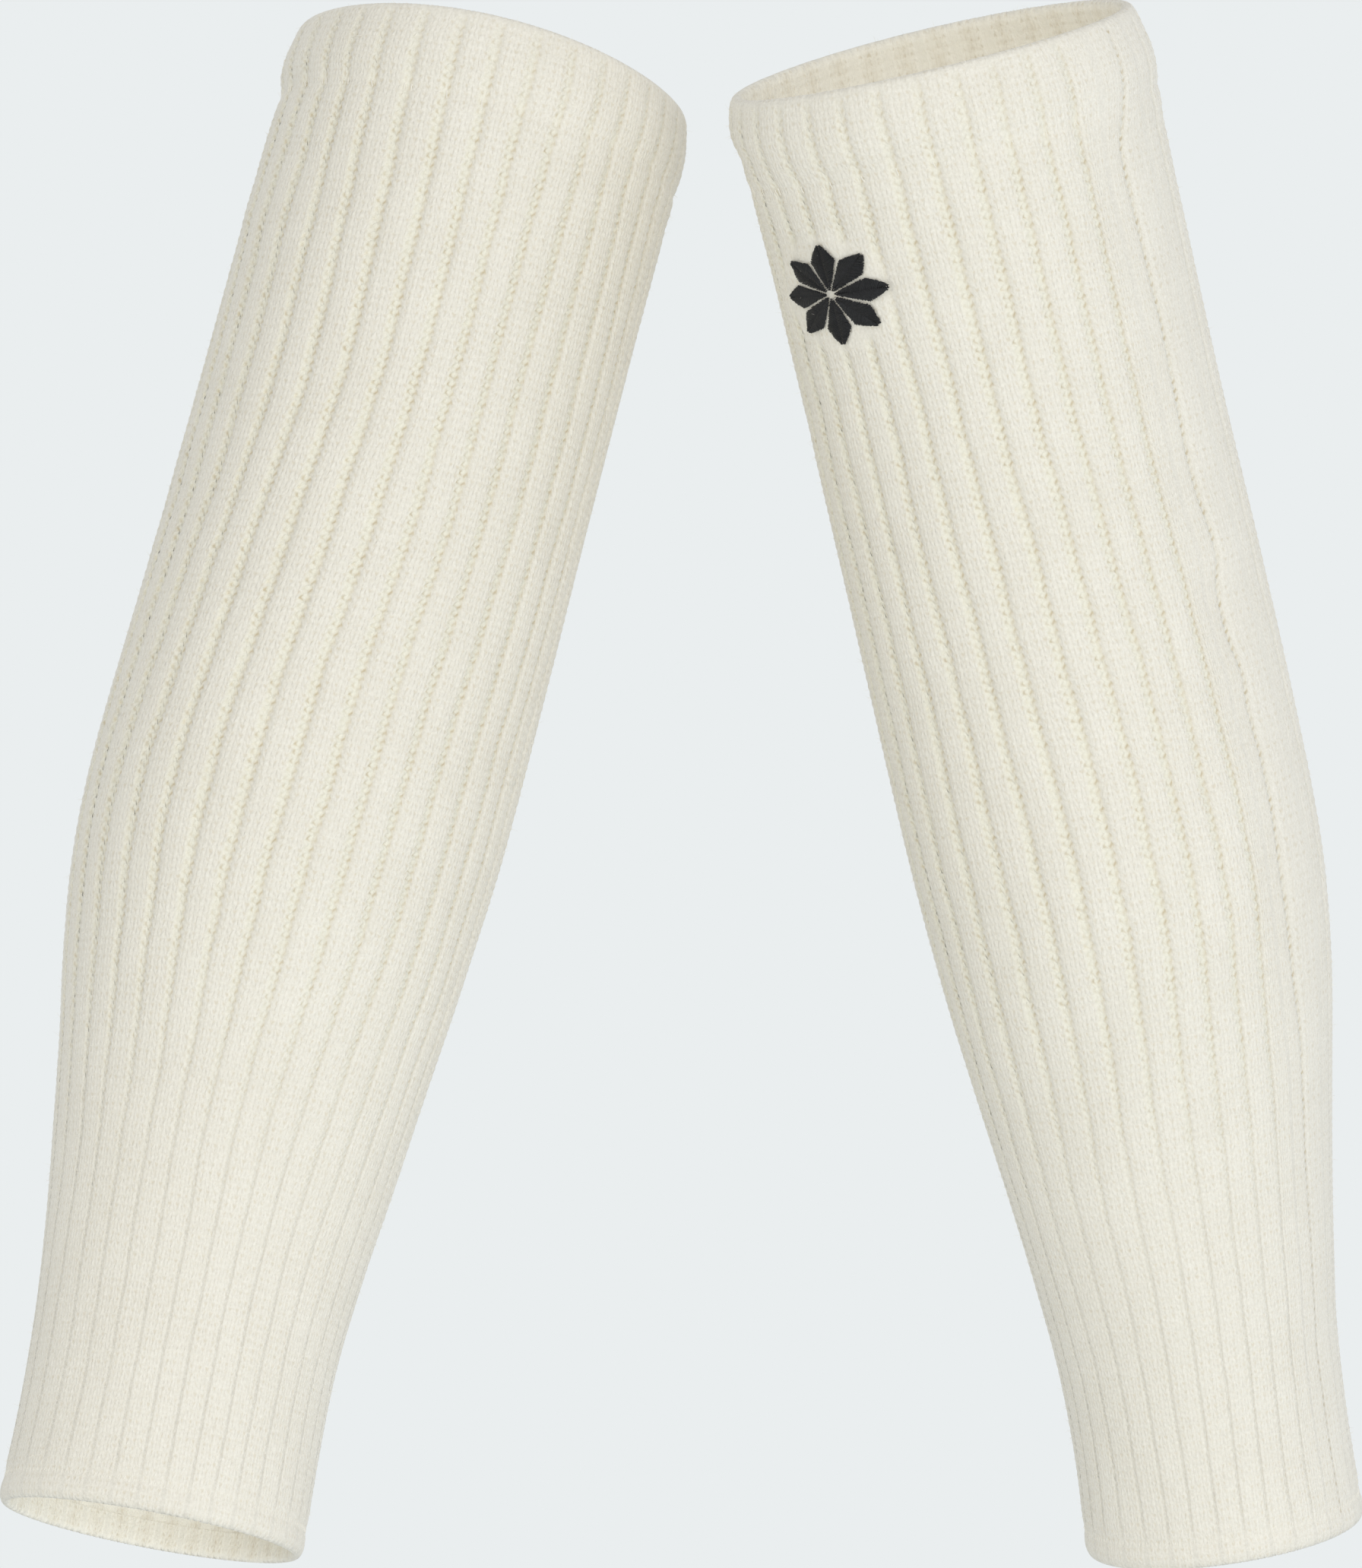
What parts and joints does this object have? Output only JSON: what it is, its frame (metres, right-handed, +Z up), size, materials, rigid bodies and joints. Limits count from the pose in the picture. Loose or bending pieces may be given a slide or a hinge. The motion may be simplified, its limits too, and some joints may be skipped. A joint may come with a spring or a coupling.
{
  "type": "pair of ribbed knit leg warmers",
  "caption": "Pair of knee-length ribbed knit leg warmers, open tubes with a turned top band and a narrow foot hem, filled out as on a leg.",
  "frame": {"origin": "centre of the right warmer's top band, where the warmer is held", "axes": "+Z up, -Y towards the viewer in front, +X to the viewer's right"},
  "size_m": [0.3601, 0.1739, 0.4155],
  "materials": {
    "wool": "matt, slightly fluffy"
  },
  "bodies": {
    "root": {"left_leg_tube": "wool", "left_top_band": "wool", "left_bottom_hem": "wool", "right_leg_tube": "wool", "right_top_band": "wool", "right_bottom_hem": "wool"}
  },
  "joints": []
}
